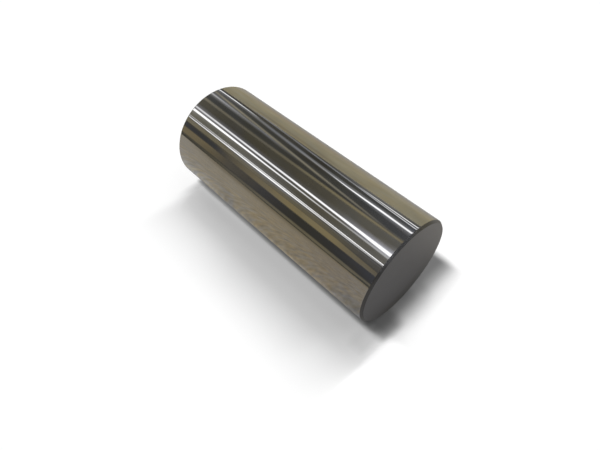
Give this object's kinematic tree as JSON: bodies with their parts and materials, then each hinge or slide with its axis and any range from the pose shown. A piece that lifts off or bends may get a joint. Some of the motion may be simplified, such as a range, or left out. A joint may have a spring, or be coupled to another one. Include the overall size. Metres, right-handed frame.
{
  "type": "piston pin",
  "caption": "Solid cylindrical piston pin with a mirror-ground diameter, a short lead-in chamfer at each end and flat matt end faces.",
  "frame": {"origin": "centre of the flat end that the pin stands on", "axes": "+Z along the pin's axis, from the end it stands on to the other end"},
  "size_m": [0.05, 0.05, 0.12],
  "materials": {
    "ground_steel": "polished"
  },
  "bodies": {
    "root": {"piston_pin": "ground_steel"}
  },
  "joints": []
}
